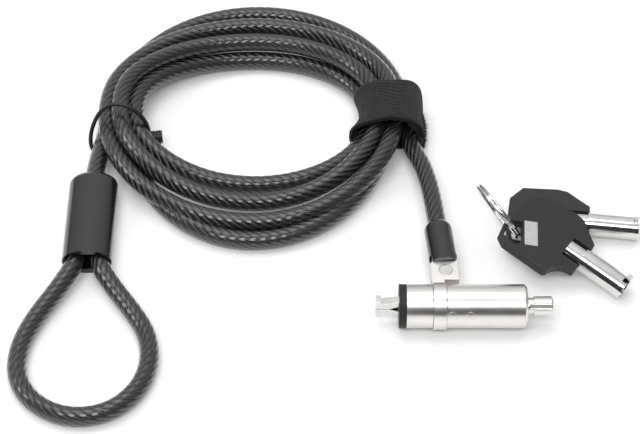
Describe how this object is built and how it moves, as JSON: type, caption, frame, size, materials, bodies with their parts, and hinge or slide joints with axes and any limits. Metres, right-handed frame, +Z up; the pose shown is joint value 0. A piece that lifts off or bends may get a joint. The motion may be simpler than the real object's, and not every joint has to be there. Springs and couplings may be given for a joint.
{
  "type": "laptop cable lock",
  "caption": "Keyed cable lock with hooked claws in a swivelling barrel, a coiled steel cable ending in a loop, and tubular keys on a ring.",
  "frame": {"origin": "centre of the rubber washer's front face, on the lock barrel's axis", "axes": "+X along the barrel from the claws to the key post, +Z up with everything lying on a table, +Y from the lock towards the coil"},
  "size_m": [0.1827, 0.1673, 0.0196],
  "materials": {
    "cable_vinyl": "clear-black vinyl over twisted rope",
    "rope_steel": "twisted steel rope",
    "strap_fabric": "woven black strap",
    "strap_pile": "fuzzy pile",
    "tie_plastic": "thin black tie",
    "moulded_black": "gloss moulded black",
    "satin_nickel": "satin nickel plate",
    "polished_nickel": "bright plated",
    "washer_rubber": "black rubber",
    "hard_steel": "hardened steel",
    "brass_pins": "plain brass",
    "bow_plastic": "fine-textured black",
    "label_silver": "silver plate"
  },
  "bodies": {
    "cable": {"cable_coil": "cable_vinyl", "cable_lock_lead": "cable_vinyl", "cable_coil_lead": "cable_vinyl", "cable_end_loop": "cable_vinyl", "strap_band": "strap_fabric", "strap_pile_end": "strap_pile", "wire_tie": "tie_plastic", "tie_head": "tie_plastic", "loop_sleeve": "moulded_black", "loop_crimp": "hard_steel", "loop_rope_ends": "rope_steel", "cable_terminal": "hard_steel", "terminal_rope_end": "rope_steel", "crimp_boot": "moulded_black"},
    "collar": {"swivel_collar": "satin_nickel", "ear_rivet": "polished_nickel"},
    "barrel": {"barrel_shell": "satin_nickel", "stake_pins": "satin_nickel", "face_washer": "washer_rubber", "nose_block": "hard_steel", "claw_pivot_pins": "hard_steel"},
    "upper_claw": {"upper_claw": "polished_nickel"},
    "lower_claw": {"lower_claw": "polished_nickel"},
    "plunger": {"plunger_sleeve": "brass_pins", "spreader_pin": "hard_steel", "return_spring": "hard_steel", "core_retainer": "hard_steel", "driver_pins": "brass_pins", "driver_springs": "hard_steel"},
    "core": {"lock_core": "satin_nickel", "key_pins": "brass_pins"},
    "key_ring": {"split_ring": "polished_nickel"},
    "front_key": {"front_key_bow": "bow_plastic", "front_key_barrel": "polished_nickel", "front_key_label": "label_silver"},
    "back_key": {"back_key_bow": "bow_plastic", "back_key_barrel": "polished_nickel", "back_key_label": "label_silver"}
  },
  "joints": [
    {"name": "ear_swing", "type": "hinge", "parent": "cable", "child": "collar", "pos_m": [0.0138, 0.0119, 0], "axis": [0, 0, 1], "range_deg": [-80, 12]},
    {"name": "barrel_swivel", "type": "hinge", "parent": "collar", "child": "barrel", "pos_m": [0.01155, 0, 0], "axis": [1, 0, 0], "continuous": true},
    {"name": "plunger_slide", "type": "slide", "parent": "barrel", "child": "plunger", "axis": [-1, 0, 0], "range_m": [0, 0.004], "stiffness_N_per_m": 600, "springref_m": -0.003, "deforming": ["return_spring"]},
    {"name": "core_turn", "type": "hinge", "parent": "plunger", "child": "core", "pos_m": [0.0326, 0, 0], "axis": [1, 0, 0], "range_deg": [0, 90]},
    {"name": "upper_claw_open", "type": "hinge", "parent": "barrel", "child": "upper_claw", "pos_m": [0.0105, 0, 0.00195], "axis": [0, 1, 0], "range_deg": [0, 4]},
    {"name": "lower_claw_open", "type": "hinge", "parent": "barrel", "child": "lower_claw", "pos_m": [0.0105, 0, -0.00195], "axis": [0, -1, 0], "range_deg": [0, 4]},
    {"name": "keys_lift_off", "type": "slide", "parent": "cable", "child": "key_ring", "axis": [0, 0, 1], "range_m": [0, 0.06]},
    {"name": "front_key_swing", "type": "hinge", "parent": "key_ring", "child": "front_key", "pos_m": [0.03401, 0.02343, 0.00434], "axis": [0, 0, 1], "range_deg": [-12, 0]},
    {"name": "back_key_swing", "type": "hinge", "parent": "key_ring", "child": "back_key", "pos_m": [0.03632, 0.02912, -0.0024], "axis": [0, 0, 1], "range_deg": [0, 9]}
  ],
  "couplings": [
    {"joint": "upper_claw_open", "follows": "plunger_slide", "rad_per_m": 17.45},
    {"joint": "lower_claw_open", "follows": "plunger_slide", "rad_per_m": 17.45}
  ]
}
